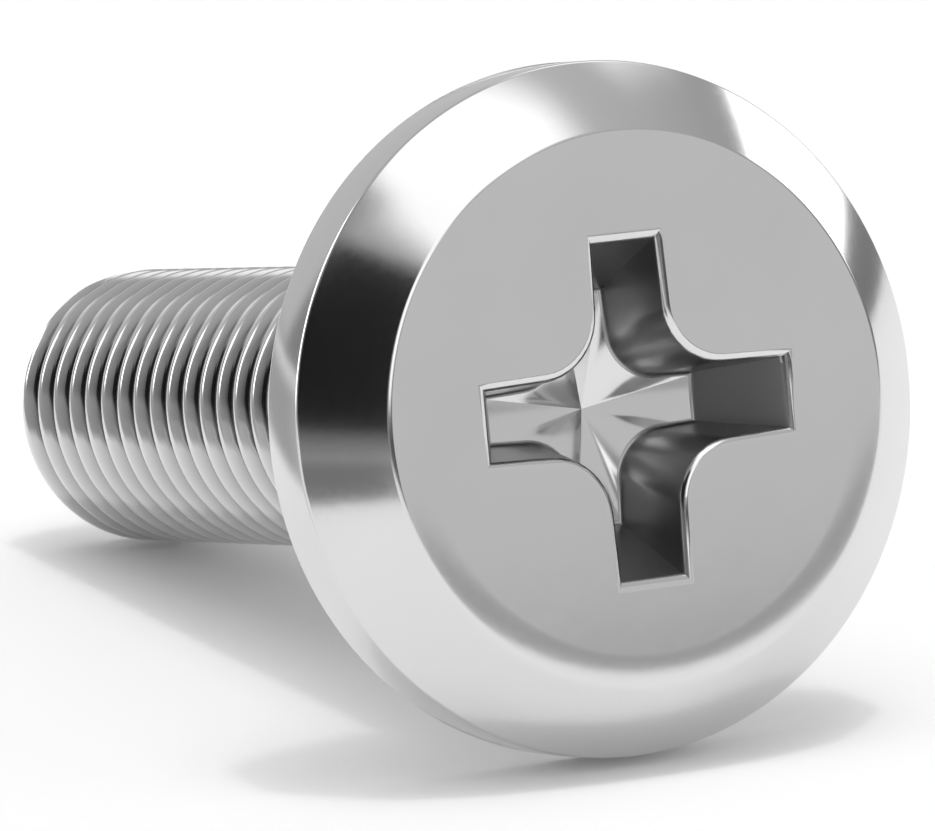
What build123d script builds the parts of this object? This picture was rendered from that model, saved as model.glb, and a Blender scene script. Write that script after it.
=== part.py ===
"""Furniture connector bolt, M6 x 20, with a wide flat flange head and a cross recess.

The bolt is turned, forged and rolled from one bar of steel and then plated, so it is one
solid. It is drawn upright, thread downwards, with the underside of the head at height zero,
and then laid down as it rests on a table: on the rim of the head and on the thread's tip,
with the head towards -Y, one pair of recess wings upright, and +Z up. The origin is the
middle of the bearing face under the head. All sizes are in millimetres.
"""
import os
from math import asin, atan2, degrees, hypot, radians, tan

from build123d import *

os.makedirs("parts", exist_ok=True)

# Head
head_diameter = 13.8
face_diameter = 11.0
flange_wall = 1.3
bevel_height = 1.3
face_round = 0.28
rim_round = 0.12
underside_round = 0.10

# Threaded shank: major diameter of the thread, under-head length and its two ends
thread_diameter = 5.9
shank_length = 20.3
tip_chamfer = 0.35
neck_round = 0.25

# Cross recess
recess_diameter = 6.77
wall_depth = 2.10
wing_width = 1.42
wing_flare = 0.16
wing_end_slope = 26.5
wing_side_draft = 5.9
corner_round = 1.20
corner_draft = 7.8
floor_fall = 0.35
recess_edge_round = 0.12

head_height = flange_wall + bevel_height
recess_depth = wall_depth + floor_fall
head_radius = head_diameter / 2
thread_radius = thread_diameter / 2

# Above the face the recess tool runs on by this much, so that it cuts clear
tool_run_out = 0.30


def wing_end(depth):
    """Distance from the axis to the end wall of a wing, at a depth below the face."""
    return recess_diameter / 2 - depth * tan(radians(wing_end_slope))


def wing_half(depth):
    """Half the width of a wing at its end, at a depth below the face."""
    return wing_width / 2 - depth * tan(radians(wing_side_draft))


def corner_radius(depth):
    """Radius of the round corner of metal between two wings, at a depth below the face."""
    return corner_round - depth * tan(radians(corner_draft))


# The blank: flange with a bevel, flat face and plain shank, turned about the axis
with BuildPart() as blank:
    with BuildSketch(Plane.XZ):
        with BuildLine():
            Polyline(
                (0, head_height),
                (face_diameter / 2, head_height),
                (head_radius, flange_wall),
                (head_radius, 0),
                (thread_radius, 0),
                (thread_radius, -shank_length),
                (0, -shank_length),
                close=True,
            )
        make_face()
    revolve(axis=Axis.Z)

    rings = blank.edges().filter_by(GeomType.CIRCLE)
    face_edge = rings.filter_by(lambda e: e.radius < head_radius).sort_by(Axis.Z)[-1]
    rim_edge = rings.group_by(SortBy.RADIUS)[-1].sort_by(Axis.Z)[-1]
    underside_edge = rings.group_by(SortBy.RADIUS)[-1].sort_by(Axis.Z)[0]
    neck_edge = rings.group_by(SortBy.RADIUS)[0].sort_by(Axis.Z)[-1]
    tip_edge = rings.sort_by(Axis.Z)[0]
    fillet(face_edge, radius=face_round)
    fillet(rim_edge, radius=rim_round)
    fillet(underside_edge, radius=underside_round)
    fillet(neck_edge, radius=neck_round)
    chamfer(tip_edge, length=tip_chamfer)

# The punch for the recess: a cross that narrows from above the face down to the foot of its
# walls, and from there a low point over the whole cross, as deep as the recess goes
with BuildPart() as punch:
    for depth in (-tool_run_out, wall_depth):
        end = wing_end(depth)
        half = wing_half(depth)
        inner = half + wing_flare / 2
        with BuildSketch(Plane.XY.offset(head_height - depth)):
            with BuildLine():
                Polyline(
                    (end, -half),
                    (end, half),
                    (inner, inner),
                    (half, end),
                    (-half, end),
                    (-inner, inner),
                    (-end, half),
                    (-end, -half),
                    (-inner, -inner),
                    (-half, -end),
                    (half, -end),
                    (inner, -inner),
                    close=True,
                )
            make_face()
            corners = vertices().sort_by_distance((0, 0, 0))[:4]
            fillet(corners, radius=corner_radius(depth))
    loft(ruled=True)
    foot = punch.faces().sort_by(Axis.Z)[0]
    loft([foot, Vertex(0, 0, head_height - recess_depth)], ruled=True)

# The finished bolt, still upright, with the edge of the recess rounded over
with BuildPart() as upright:
    add(blank.part)
    add(punch.part, mode=Mode.SUBTRACT)
    face = upright.faces().filter_by(Plane.XY).sort_by(Axis.Z)[-1]
    fillet(face.inner_wires()[0].edges(), radius=recess_edge_round)

# Lying down: a straight edge laid from the rim of the head to the last full thread
rest_rise = head_radius - underside_round - thread_radius
rest_run = shank_length - tip_chamfer + underside_round
lie_angle = degrees(atan2(rest_rise, rest_run) + asin(underside_round / hypot(rest_rise, rest_run)))
lying = Plane(origin=(0, 0, 0), x_dir=(1, 0, 0), z_dir=(0, -1, 0)).rotated((-lie_angle, 0, 0))

with BuildPart(lying) as bolt:
    add(upright.part)

bolt.part.label = "bolt"
export_step(bolt.part, "parts/bolt.step")

print("lie angle", round(lie_angle, 3), "head height", head_height, "volume", round(bolt.part.volume, 2))
box = bolt.part.bounding_box()
print("box", box.min, box.max)
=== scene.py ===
import math

import bmesh
import bpy
from mathutils import Matrix, Vector


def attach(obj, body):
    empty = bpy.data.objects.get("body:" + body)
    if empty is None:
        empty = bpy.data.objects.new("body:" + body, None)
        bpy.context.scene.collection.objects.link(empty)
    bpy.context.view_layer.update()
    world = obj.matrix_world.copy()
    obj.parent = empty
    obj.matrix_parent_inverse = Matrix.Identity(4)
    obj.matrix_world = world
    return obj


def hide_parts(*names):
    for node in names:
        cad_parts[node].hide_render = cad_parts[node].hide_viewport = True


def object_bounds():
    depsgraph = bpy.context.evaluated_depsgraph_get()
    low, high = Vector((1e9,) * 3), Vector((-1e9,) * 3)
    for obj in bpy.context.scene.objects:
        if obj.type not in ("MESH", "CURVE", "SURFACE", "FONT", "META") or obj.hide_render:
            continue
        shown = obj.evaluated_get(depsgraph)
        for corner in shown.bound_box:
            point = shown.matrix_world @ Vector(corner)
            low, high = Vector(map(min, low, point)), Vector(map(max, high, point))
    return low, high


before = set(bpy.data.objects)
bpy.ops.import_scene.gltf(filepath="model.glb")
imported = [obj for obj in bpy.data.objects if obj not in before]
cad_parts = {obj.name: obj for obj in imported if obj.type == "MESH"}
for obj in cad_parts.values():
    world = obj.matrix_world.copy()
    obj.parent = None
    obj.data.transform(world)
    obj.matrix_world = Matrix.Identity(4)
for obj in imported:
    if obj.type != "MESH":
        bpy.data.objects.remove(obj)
cad_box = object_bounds()

# ---------------------------------------------------------------------------------------
# The flange head.
# A wide, thin head of plated steel, upset from the bar and turned: a flat face, one broad
# bevel, a short upright rim and a flat underside, each edge broken by a small radius.
# ---------------------------------------------------------------------------------------
MM = 0.001
HEAD_R = 6.9 * MM
FACE_R = 5.5 * MM
RIM_H = 1.3 * MM
HEAD_H = 2.6 * MM
# The face falls by SOFT_D over its last SOFT_W, before the bevel
SOFT_W = 0.40 * MM
SOFT_D = 0.05 * MM
SOFT_ROUND = 4.5 * MM
FACE_ROUND = 0.20 * MM
RIM_ROUND = 0.12 * MM
UNDER_ROUND = 0.10 * MM
AROUND = 192
AXIS_Z = (0, 0, 1)
CLOSE = 0.001 * MM


def ring_edges(bm, radius, height, near=0.02 * MM):
    """The edges of one ring about the bolt's axis."""
    def on(v):
        return abs(v.co.xy.length - radius) < near and abs(v.co.z - height) < near
    return [e for e in bm.edges if on(e.verts[0]) and on(e.verts[1])]


def fillet_edges(bm, edges, radius, turn_deg, steps):
    """Rounds a ring of edges to a radius, where the surface turns by turn_deg."""
    bmesh.ops.bevel(bm, geom=edges, offset=radius * math.tan(math.radians(turn_deg) / 2),
                    offset_type='OFFSET', affect='EDGES', segments=steps, profile=0.5,
                    material=-1)


head = bmesh.new()
corners = [head.verts.new((r, 0, z)) for r, z in (
    (FACE_R - SOFT_W, HEAD_H), (FACE_R, HEAD_H - SOFT_D), (HEAD_R, RIM_H), (HEAD_R, 0))]
for a, b in zip(corners, corners[1:]):
    head.edges.new((a, b))
bmesh.ops.spin(head, geom=head.verts[:] + head.edges[:], cent=(0, 0, 0), axis=AXIS_Z,
               angle=math.tau, steps=AROUND, use_merge=True)
bmesh.ops.holes_fill(head, edges=head.edges[:], sides=0)
soft_turn = math.degrees(math.atan2(SOFT_D, SOFT_W))
bevel_turn = math.degrees(math.atan2(HEAD_H - SOFT_D - RIM_H, HEAD_R - FACE_R))
for radius, height, rounding, turn_deg, steps in (
        (FACE_R, HEAD_H - SOFT_D, FACE_ROUND, bevel_turn - soft_turn, 6),
        (FACE_R - SOFT_W, HEAD_H, SOFT_ROUND, soft_turn, 6),
        (HEAD_R, RIM_H, RIM_ROUND, 90 - bevel_turn, 4),
        (HEAD_R, 0, UNDER_ROUND, 90, 4)):
    fillet_edges(head, ring_edges(head, radius, height), rounding, turn_deg, steps)
bmesh.ops.recalc_face_normals(head, faces=head.faces[:])

# ---------------------------------------------------------------------------------------
# The cross recess.
# A hole for a size 3 cross bit, punched into the cold steel by a four-winged tool: the
# wing ends slope, the corners between the wings are round, and the floor falls gently from
# the foot of the walls to a point. The punch leaves a fine rounded lip.
# ---------------------------------------------------------------------------------------
RECESS_R = 6.77 / 2 * MM
WALL_DEEP = 2.10 * MM
RECESS_DEEP = 2.45 * MM
WING_HALF = 0.71 * MM
WING_FLARE = 0.08 * MM
END_SLOPE = math.tan(math.radians(26.5))
SIDE_DRAFT = math.tan(math.radians(5.9))
CORNER_ROUND = 1.20 * MM
CORNER_DRAFT = math.tan(math.radians(7.8))
RUN_OUT = 0.3 * MM
FOOT_WEAR = 0.07 * MM
LIP = 0.16 * MM


def object_from(name, bm):
    """An object of the mesh, for cutting with."""
    mesh = bpy.data.meshes.new(name)
    bm.to_mesh(mesh)
    bm.free()
    made = bpy.data.objects.new(name, mesh)
    bpy.context.collection.objects.link(made)
    return made


def cut(first, second):
    """The first solid less the second, as a new mesh; both objects are used up."""
    cutting = first.modifiers.new("cut", 'BOOLEAN')
    cutting.operation = 'DIFFERENCE'
    cutting.solver = 'EXACT'
    cutting.object = second
    shape = first.evaluated_get(bpy.context.evaluated_depsgraph_get())
    result = bmesh.new()
    result.from_mesh(shape.to_mesh())
    bmesh.ops.remove_doubles(result, verts=result.verts[:], dist=0.0005 * MM)
    for used in (first, second):
        bpy.data.objects.remove(used)
    return result


# The walls: one cross-shaped outline above the face and one under the floor, bridged
walls = bmesh.new()
for depth in (-RUN_OUT, WALL_DEEP):
    end = RECESS_R - depth * END_SLOPE
    half = WING_HALF - depth * SIDE_DRAFT
    inner = half + WING_FLARE
    radius = CORNER_ROUND - depth * CORNER_DRAFT
    outline = bmesh.new()
    quarter = [outline.verts.new(p) for p in
               ((end, half, 0), (inner, inner, 0), (half, end, 0))]
    for a, b in zip(quarter, quarter[1:]):
        outline.edges.new((a, b))
    bmesh.ops.spin(outline, geom=outline.verts[:] + outline.edges[:], cent=(0, 0, 0),
                   axis=AXIS_Z, angle=math.tau, steps=4, use_duplicate=True)
    bmesh.ops.remove_doubles(outline, verts=outline.verts[:], dist=CLOSE)
    wing_tips = sorted((v for v in outline.verts if len(v.link_edges) == 1),
                       key=lambda v: math.atan2(v.co.y, v.co.x))
    for a, b in zip(wing_tips[1::2], wing_tips[2::2] + wing_tips[:1]):
        outline.edges.new((a, b))
    bmesh.ops.contextual_create(outline, geom=outline.edges[:])
    inner_corners = [v for v in outline.verts if v.co.length < 1.6 * inner]
    bmesh.ops.bevel(outline, geom=inner_corners, offset=radius, offset_type='OFFSET',
                    affect='VERTICES', segments=10, profile=0.5, material=-1)
    bmesh.ops.translate(outline, verts=outline.verts[:], vec=(0, 0, HEAD_H - depth))
    flat = bpy.data.meshes.new("outline")
    outline.to_mesh(flat)
    outline.free()
    walls.from_mesh(flat)
bmesh.ops.bridge_loops(walls, edges=walls.edges[:])
bmesh.ops.recalc_face_normals(walls, faces=walls.faces[:])

# The floor falls from the foot of the walls to one point; the foot itself is a little worn
foot = [e for e in walls.edges if all(v.co.z < HEAD_H - WALL_DEEP + CLOSE for v in e.verts)]
both_ends = [f for f in walls.faces if len(f.verts) > 8]
bmesh.ops.delete(walls, geom=both_ends, context='FACES_ONLY')
bmesh.ops.holes_fill(walls, edges=walls.edges[:], sides=0)
low_face = min((f for f in walls.faces if len(f.verts) > 8),
               key=lambda f: f.calc_center_median().z)
point = bmesh.ops.poke(walls, faces=[low_face])["verts"][0]
point.co = (0, 0, HEAD_H - RECESS_DEEP)
bmesh.ops.bevel(walls, geom=foot, offset=FOOT_WEAR, offset_type='OFFSET', affect='EDGES',
                segments=3, profile=0.5, material=-1, clamp_overlap=True)
bmesh.ops.recalc_face_normals(walls, faces=walls.faces[:])
bolt = cut(object_from("head", head), object_from("punch", walls))

# The lip: the edge between the face and the walls, rounded
lip_edges = [e for e in bolt.edges
             if all(abs(v.co.z - HEAD_H) < CLOSE and v.co.xy.length < 1.05 * RECESS_R
                    for v in e.verts) and e.calc_face_angle(0) > 0.5]
bmesh.ops.bevel(bolt, geom=lip_edges, offset=LIP, offset_type='OFFSET', affect='EDGES',
                segments=4, profile=0.5, material=-1)

# ---------------------------------------------------------------------------------------
# The threaded shank.
# Rolled between flat dies into the same blank: a fine right-hand thread with rounded
# crests, which fades out just under the head and ends at the tip in a short chamfer.
# ---------------------------------------------------------------------------------------
THREAD_R = 2.95 * MM
SHANK_L = 20.3 * MM
PITCH = 0.8 * MM
GROOVE = 0.44 * MM
TIP = 0.35 * MM
NECK = 0.25 * MM
FADE_FROM, FADE_LONG = 1.1 * MM, 0.8 * MM
BRIDGE = 0.1 * MM
SPARE = 1.5 * PITCH
TURN_STEPS = 96
# How much painted shade darkens the recess walls
SHADE_ON_WALLS = 0.45
SHARP_DEG = 28

# One pitch of the thread, as (share of the pitch, share of the groove's depth), from root
# to crest and down again
half_form = ((0.0, 1.0), (0.02, 0.94), (0.04, 0.77), (0.07, 0.53), (0.11, 0.38),
             (0.20, 0.26), (0.36, 0.08), (0.40, 0.035), (0.44, 0.01))
other_half = tuple((1 - along, deep) for along, deep in reversed(half_form))
thread_form = half_form + ((0.5, 0.0),) + other_half
shank = bmesh.new()
low = -SHANK_L - SPARE
form = [shank.verts.new((THREAD_R - deep * GROOVE, 0, low + along * PITCH))
        for along, deep in thread_form]
for a, b in zip(form, form[1:]):
    shank.edges.new((a, b))
bmesh.ops.spin(shank, geom=shank.verts[:] + shank.edges[:], cent=(0, 0, 0), axis=AXIS_Z,
               dvec=(0, 0, PITCH / TURN_STEPS), angle=math.tau, steps=TURN_STEPS)
one_turn = shank.verts[:] + shank.edges[:] + shank.faces[:]
for turn in range(1, math.ceil((SHANK_L + 2 * SPARE) / PITCH)):
    copied = bmesh.ops.duplicate(shank, geom=one_turn)
    moved = [g for g in copied["geom"] if isinstance(g, bmesh.types.BMVert)]
    bmesh.ops.translate(shank, verts=moved, vec=(0, 0, turn * PITCH))
bmesh.ops.remove_doubles(shank, verts=shank.verts[:], dist=0.002 * MM)

# The thread fades out under the head, the tip is chamfered and the neck is rounded
for v in shank.verts:
    r = v.co.xy.length
    fade = min(max((v.co.z + FADE_FROM) / FADE_LONG, 0), 1)
    wanted = r + (THREAD_R - r) * fade * fade * (3 - 2 * fade)
    wanted = min(wanted, THREAD_R - TIP + max(v.co.z + SHANK_L, 0))
    if v.co.z > -NECK:
        rise = min(v.co.z + NECK, NECK)
        wanted = THREAD_R + NECK - math.sqrt(NECK * NECK - rise * rise)
    v.co.xy *= wanted / r
for height, keep_above in ((-SHANK_L, True), (0, False)):
    bmesh.ops.bisect_plane(shank, geom=shank.verts[:] + shank.edges[:] + shank.faces[:],
                           plane_co=(0, 0, height), plane_no=AXIS_Z, dist=CLOSE,
                           clear_inner=keep_above, clear_outer=not keep_above)
tip_loop = [e for e in shank.edges if e.is_boundary and e.verts[0].co.z < -SHANK_L / 2]
bmesh.ops.holes_fill(shank, edges=tip_loop, sides=0)

# The shank grows out of the underside: the flat under the head is opened and joined to it.
# Known fault: bridge_loops pairs the two rings in opposite directions, so the ring between
# them crosses itself at the bearing face, and the head's faces point inwards.
under_head = [f for f in bolt.faces
              if f.normal.z < -0.999 and f.calc_center_median().xy.length < 0.1 * MM]
flat_width = HEAD_R - UNDER_ROUND - (THREAD_R + NECK + BRIDGE)
bmesh.ops.inset_region(bolt, faces=under_head, thickness=flat_width, use_even_offset=True)
bmesh.ops.delete(bolt, geom=under_head, context='FACES_ONLY')
rolled = bpy.data.meshes.new("rolled")
shank.to_mesh(rolled)
shank.free()
bolt.from_mesh(rolled)
bmesh.ops.bridge_loops(bolt, edges=[e for e in bolt.edges if e.is_boundary])
bmesh.ops.recalc_face_normals(bolt, faces=bolt.faces[:])

# Painted shade, from 0 to 1: the steel is darkened down the thread's flanks into the roots,
# and on the recess walls, where shade falls. Where the punch left the steel less smooth:
# the walls and ends of the recess.
shade_layer = bolt.loops.layers.float.new("painted_shade")
drawn = bolt.loops.layers.float.new("drawn_steel")
for f in bolt.faces:
    middle = f.calc_center_median()
    on_thread = -SHANK_L + 0.5 * TIP < middle.z < -NECK
    at_walls = HEAD_H - WALL_DEEP - 0.01 * MM < middle.z < HEAD_H - LIP / 2
    in_recess = at_walls and f.normal.z < 0.6 and middle.xy.length < RECESS_R
    for loop in f.loops:
        loop[drawn] = 1 if in_recess else 0
        if on_thread:
            deep = (THREAD_R - loop.vert.co.xy.length) / GROOVE
            # Painted shade, rising from the crest into the root
            loop[shade_layer] = 1 if deep > 0.5 else min(0.08 + 0.9 * deep, 3 * deep)
        elif in_recess and f.normal.z < 0.35:
            loop[shade_layer] = SHADE_ON_WALLS

# Laid on its side, it rests on the rim of the head and on the thread's last full crest
run = SHANK_L - TIP + UNDER_ROUND
drop = HEAD_R - UNDER_ROUND - THREAD_R
lie = math.atan2(drop, run) + math.asin(UNDER_ROUND / math.hypot(drop, run))
towards_face = Vector((0, -math.cos(lie), math.sin(lie)))
level = Vector((1, 0, 0))
lying = Matrix((level, towards_face.cross(level), towards_face)).transposed()
bmesh.ops.rotate(bolt, verts=bolt.verts[:], cent=(0, 0, 0), matrix=lying)
bolt_mesh = bpy.data.meshes.new("connector_bolt")
bolt.to_mesh(bolt_mesh)
bolt.free()
bolt_mesh.shade_smooth()
bolt_mesh.set_sharp_from_angle(angle=math.radians(SHARP_DEG))
connector_bolt = bpy.data.objects.new("connector_bolt", bolt_mesh)
bpy.context.collection.objects.link(connector_bolt)
even = connector_bolt.modifiers.new("even_shading", 'WEIGHTED_NORMAL')
even.keep_sharp = True
even.weight = 100


def linear(hex_colour):
    """An sRGB hex colour as the linear values that a shader takes."""
    parts = [int(hex_colour[i:i + 2], 16) / 255 for i in (1, 3, 5)]
    return [c / 12.92 if c <= 0.04045 else ((c + 0.055) / 1.055) ** 2.4 for c in parts] + [1.0]


def add_node(tree, kind, settings=None, links=None):
    """Adds one node: settings are its properties or its sockets' values, links its inputs."""
    node = tree.nodes.new(kind)
    for key, value in (settings or {}).items():
        if isinstance(key, str) and hasattr(node, key):
            setattr(node, key, value)
        else:
            node.inputs[key].default_value = value
    for key, source in (links or {}).items():
        tree.links.new(source, node.inputs[key])
    return node


# Bright nickel over bare steel, barrel plated: nearly a mirror, with a fine unevenness that
# softens its reflections
plate = bpy.data.materials.new("bright_nickel_plate")
plate.use_nodes = True
tree = plate.node_tree
tree.nodes.clear()
place = add_node(tree, 'ShaderNodeTexCoord')
# The colour drifts by a shade or two over about 3 mm
drift = add_node(tree, 'ShaderNodeTexNoise', {"Scale": 1 / (3 * MM), "Detail": 2.0},
                 {"Vector": place.outputs["Object"]})
tone = add_node(tree, 'ShaderNodeMix',
                {"data_type": 'RGBA', 6: linear("#D8D8D8"), 7: linear("#DFDFDF")},
                {0: drift.outputs[0]})
# Painted shade: the steel is darkened towards #181818 in the thread's roots and flanks and on
# the recess walls, where shade falls
painted_shade_mask = add_node(tree, 'ShaderNodeAttribute', {"attribute_name": "painted_shade"})
shaded_tone = add_node(tree, 'ShaderNodeMix', {"data_type": 'RGBA', 7: linear("#181818")},
                      {0: painted_shade_mask.outputs["Fac"], 6: tone.outputs[2]})
# The plating's grain, drawn 0.12 mm wide so that it shows, varies the gloss
grain = add_node(tree, 'ShaderNodeTexNoise', {"Scale": 1 / (0.12 * MM), "Detail": 3.0},
                 {"Vector": place.outputs["Object"]})
gloss = add_node(tree, 'ShaderNodeMapRange', {"To Min": 0.11, "To Max": 0.16},
                 {"Value": grain.outputs[0]})
# Orange peel of the plated surface, 0.5 mm wide and well under a micron deep
peel = add_node(tree, 'ShaderNodeTexNoise', {"Scale": 1 / (0.5 * MM), "Detail": 1.0},
                {"Vector": place.outputs["Object"]})
ripple = add_node(tree, 'ShaderNodeBump', {"Strength": 0.25, "Distance": 0.004 * MM},
                  {"Height": peel.outputs[0]})
dull = add_node(tree, 'ShaderNodeAttribute', {"attribute_name": "drawn_steel"})
less_gloss = add_node(tree, 'ShaderNodeMath', {"operation": 'MULTIPLY_ADD', 1: 0.16},
                      {0: dull.outputs["Fac"], 2: gloss.outputs[0]})
metal = add_node(tree, 'ShaderNodeBsdfPrincipled', {"Metallic": 1.0},
                 {"Base Color": shaded_tone.outputs[2], "Roughness": less_gloss.outputs[0],
                  "Normal": ripple.outputs[0]})
add_node(tree, 'ShaderNodeOutputMaterial', links={"Surface": metal.outputs[0]})
bolt_mesh.materials.append(plate)

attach(connector_bolt, "root")
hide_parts("bolt")

# ---------------------------------------------------------------------------------------
# The table top under the bolt.
# A matt white board, level with the lowest point of the rim and the tip.
# ---------------------------------------------------------------------------------------
TABLE_R = 1.6
table = bmesh.new()
bmesh.ops.create_circle(table, cap_ends=True, segments=64, radius=TABLE_R)
bmesh.ops.translate(table, verts=table.verts[:], vec=(0, 0, cad_box[0].z))
table_mesh = bpy.data.meshes.new("table_top")
table.to_mesh(table_mesh)
table.free()
table_top = bpy.data.objects.new("table_top", table_mesh)
bpy.context.collection.objects.link(table_top)
white_board = bpy.data.materials.new("white_board")
white_board.use_nodes = True
tree = white_board.node_tree
tree.nodes.clear()
# Seen directly or in the metal, the board is a touch lighter than its light makes it
ray = add_node(tree, 'ShaderNodeLightPath')
seen = add_node(tree, 'ShaderNodeMath', {"operation": 'MAXIMUM'},
                {0: ray.outputs["Is Camera Ray"], 1: ray.outputs["Is Glossy Ray"]})
lift = add_node(tree, 'ShaderNodeMath', {"operation": 'MULTIPLY', 1: 0.06},
                {0: seen.outputs[0]})
matt = add_node(tree, 'ShaderNodeBsdfDiffuse', {"Color": linear("#F4F4F4")})
glow = add_node(tree, 'ShaderNodeEmission', links={"Strength": lift.outputs[0]})
both = add_node(tree, 'ShaderNodeAddShader', links={0: matt.outputs[0], 1: glow.outputs[0]})
add_node(tree, 'ShaderNodeOutputMaterial', links={"Surface": both.outputs[0]})
table_mesh.materials.append(white_board)

# ---------------------------------------------------------------------------------------
# Camera and light.
# A long lens low in front of the head, to its left. Three lamps hang overhead, a small hard
# one and two softer ones, and a fourth stands at the back right. Bright, grey and dark cards
# stand round the bolt for the polished metal to mirror.
# ---------------------------------------------------------------------------------------
LENS = 352.2
LOOK_TURN, LOOK_DOWN = math.radians(28.09), math.radians(12.94)
# From the camera to the middle of the face, in mm along its own axes
FACE_RIGHT, FACE_UP, FACE_AHEAD = 3.393, 0.117, 179.6
camera = bpy.data.objects.new("camera", bpy.data.cameras.new("camera"))
bpy.context.collection.objects.link(camera)
camera.data.lens = LENS
camera.data.sensor_width = 36
camera.data.clip_start = 0.01
camera.data.clip_end = 10
forward = Vector((math.sin(LOOK_TURN) * math.cos(LOOK_DOWN),
                  math.cos(LOOK_TURN) * math.cos(LOOK_DOWN), -math.sin(LOOK_DOWN)))
right = Vector((math.cos(LOOK_TURN), -math.sin(LOOK_TURN), 0))
up = right.cross(forward)
face_centre = towards_face * HEAD_H
camera.location = face_centre - (
    right * FACE_RIGHT + up * FACE_UP + forward * FACE_AHEAD) * MM
camera.rotation_mode = 'QUATERNION'
camera.rotation_quaternion = forward.to_track_quat('-Z', 'Y')
bpy.context.scene.camera = camera


def direction(azimuth, elevation):
    """A unit vector from two angles in degrees; azimuth runs from +X towards +Y."""
    a, e = math.radians(azimuth), math.radians(elevation)
    return Vector((math.cos(a) * math.cos(e), math.sin(a) * math.cos(e), math.sin(e)))


def lamp(name, azimuth, elevation, distance, wide, tall, radiance):
    """A softbox aimed at the bolt."""
    way = direction(azimuth, elevation)
    light = bpy.data.lights.new(name, 'AREA')
    light.shape = 'RECTANGLE'
    light.size, light.size_y = wide, tall
    light.energy = radiance * math.pi * wide * tall
    made = bpy.data.objects.new(name, light)
    made.location = way * distance
    made.rotation_mode = 'QUATERNION'
    made.rotation_quaternion = (-way).to_track_quat('-Z', 'Y')
    bpy.context.collection.objects.link(made)
    return made


for name, size, radiance in (("key", 0.06, 100), ("key_soft", 0.30, 5)):
    key = lamp(name, -52, 84, 1.0, size, size, radiance)
    key.visible_glossy = False
overhead = lamp("overhead", -150, 82.5, 1.0, 0.8, 0.83, 1.2)
overhead.visible_glossy = False
lamp("back_right", 15, 19.5, 1.0, 0.40, 0.40, 2.0)


def card(name, azimuth, elevation, distance, wide, tall, shade, soft=0.25, centre=(0, 0, 0)):
    """A card that only mirror-like surfaces see; its edges fade over the share soft."""
    way = direction(azimuth, elevation)
    facing = (-way).to_track_quat('-Z', 'Y').to_matrix()
    middle = way * distance + Vector(centre)
    bm = bmesh.new()
    bmesh.ops.create_grid(bm, x_segments=1, y_segments=1, size=0.5)
    bmesh.ops.scale(bm, verts=bm.verts[:], vec=(wide, tall, 1))
    bmesh.ops.rotate(bm, verts=bm.verts[:], matrix=facing)
    bmesh.ops.translate(bm, verts=bm.verts[:], vec=middle)
    mesh = bpy.data.meshes.new(name)
    bm.to_mesh(mesh)
    bm.free()
    made = bpy.data.objects.new(name, mesh)
    bpy.context.collection.objects.link(made)
    made.visible_camera = made.visible_diffuse = made.visible_shadow = False
    made.visible_transmission = False
    paint = bpy.data.materials.new(name)
    paint.use_nodes = True
    tree = paint.node_tree
    tree.nodes.clear()
    here = add_node(tree, 'ShaderNodeTexCoord')
    from_middle = add_node(tree, 'ShaderNodeVectorMath', {"operation": 'SUBTRACT', 1: middle},
                           {0: here.outputs["Object"]})
    inside = []
    for side, size in ((0, wide), (1, tall)):
        along = add_node(tree, 'ShaderNodeVectorMath',
                         {"operation": 'DOT_PRODUCT', 1: facing.col[side] * 2 / size},
                         {0: from_middle.outputs[0]})
        apart = add_node(tree, 'ShaderNodeMath', {"operation": 'ABSOLUTE'},
                         {0: along.outputs["Value"]})
        inside.append(add_node(tree, 'ShaderNodeMapRange', {
            "interpolation_type": 'SMOOTHSTEP', "From Min": 1 - soft, "From Max": 1,
            "To Min": 1, "To Max": 0}, {"Value": apart.outputs[0]}))
    cover = add_node(tree, 'ShaderNodeMath', {"operation": 'MULTIPLY'},
                     {0: inside[0].outputs[0], 1: inside[1].outputs[0]})
    clear = add_node(tree, 'ShaderNodeBsdfTransparent')
    glow = add_node(tree, 'ShaderNodeEmission', {"Color": (shade, shade, shade, 1)})
    blend = add_node(tree, 'ShaderNodeMixShader', links={
        0: cover.outputs[0], 1: clear.outputs[0], 2: glow.outputs[0]})
    add_node(tree, 'ShaderNodeOutputMaterial', links={"Surface": blend.outputs[0]})
    mesh.materials.append(paint)


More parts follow.
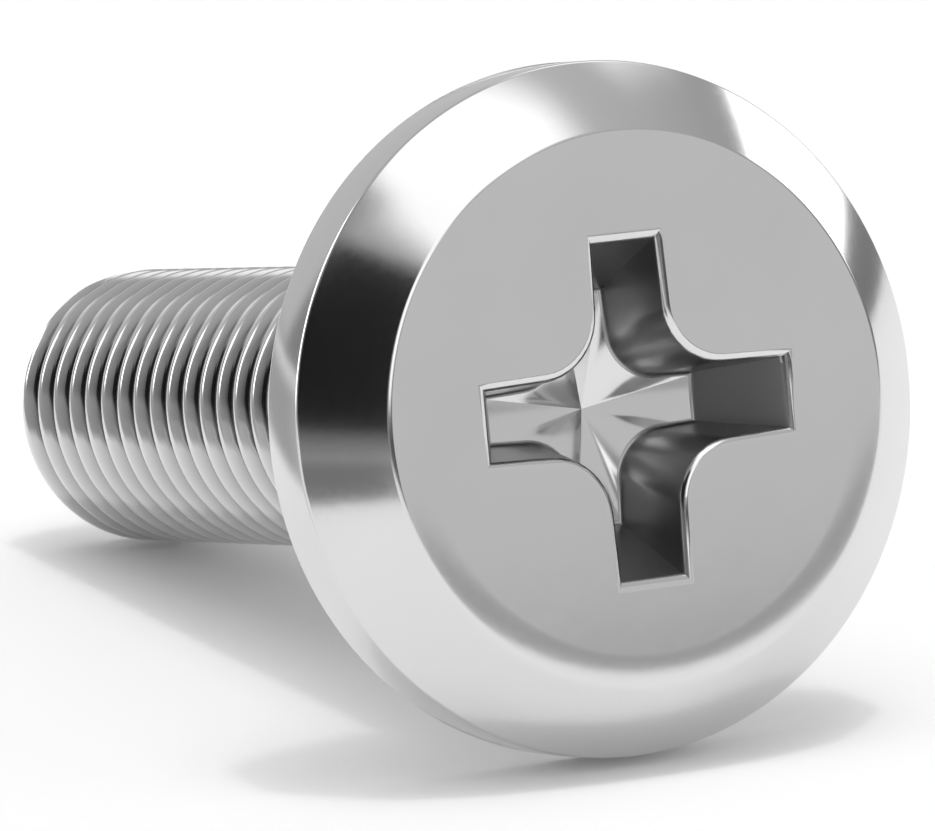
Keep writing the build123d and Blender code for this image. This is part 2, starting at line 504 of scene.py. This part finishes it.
# Most cards stand about a metre off; grey_near, grey_low, dark_low and dark_behind stand
# within 10 cm of the bolt and shade the thread and the rim
card("top", -110, 78, 1.05, 1.0, 1.0, 1.5, 0.5)
card("dark_left", -159, 27, 0.9, 0.78, 0.86, 0.01)
card("bright_behind", -112, 30, 0.95, 0.40, 0.66, 1.4)
card("bright_high", -118, 60, 1.0, 0.50, 0.50, 1.4)
card("dark_front", -104, 6.5, 0.9, 0.60, 0.15, 0.05)
card("dark_right", 8, 2, 0.9, 0.76, 0.14, 0.20)
card("pale_front", -55, 24, 1.2, 1.9, 1.3, 0.66)
card("pale_back", 78, 22, 1.2, 1.9, 1.1, 0.60)
card("bright_back", 45, 50, 1.0, 0.75, 0.42, 1.45, 0.6)
card("grey_near", 180, 0, 0.016, 0.09, 0.0090, 0.42, 0.5, (0, 0.04, -0.0028))
card("strip_left", 143, 20, 0.9, 0.44, 1.05, 3.0, 0.4)
card("grey_high", -178, 50, 0.85, 0.42, 0.55, 0.30, 0.4)
card("grey_low", -63, -2, 0.07, 0.06, 0.013, 0.40, 0.5)
card("dark_low", -154, -6, 0.035, 0.030, 0.0120, 0.20, 0.7)
card("dark_behind", 62, -3, 0.04, 0.05, 0.014, 0.12, 0.5)

# The room as the metal mirrors it gets lighter from the horizon up. The board is lit by an
# even grey sky, and the camera sees plain white.
world = bpy.data.worlds.new("studio")
bpy.context.scene.world = world
world.use_nodes = True
tree = world.node_tree
tree.nodes.clear()
outward = add_node(tree, 'ShaderNodeTexCoord')
split = add_node(tree, 'ShaderNodeSeparateXYZ', links={0: outward.outputs["Generated"]})
room = add_node(tree, 'ShaderNodeValToRGB', links={0: split.outputs["Z"]})
stops = room.color_ramp.elements
stops[0].color, stops[1].color = (0.26, 0.26, 0.26, 1), (0.62, 0.62, 0.62, 1)
for at, shade in ((0.15, 0.26), (0.35, 0.28), (0.6, 0.42), (0.8, 0.52)):
    stops.new(at).color = (shade, shade, shade, 1)
ray = add_node(tree, 'ShaderNodeLightPath')
mirrored = add_node(tree, 'ShaderNodeMix', {"data_type": 'RGBA', 6: (0.60, 0.60, 0.60, 1)},
                    {0: ray.outputs["Is Glossy Ray"], 7: room.outputs[0]})
shown = add_node(tree, 'ShaderNodeMix', {"data_type": 'RGBA', 7: (1, 1, 1, 1)},
                 {0: ray.outputs["Is Camera Ray"], 6: mirrored.outputs[2]})
sky = add_node(tree, 'ShaderNodeBackground', {"Strength": 1.0}, {"Color": shown.outputs[2]})
add_node(tree, 'ShaderNodeOutputWorld', links={"Surface": sky.outputs[0]})

bpy.context.scene.view_settings.view_transform = 'Standard'
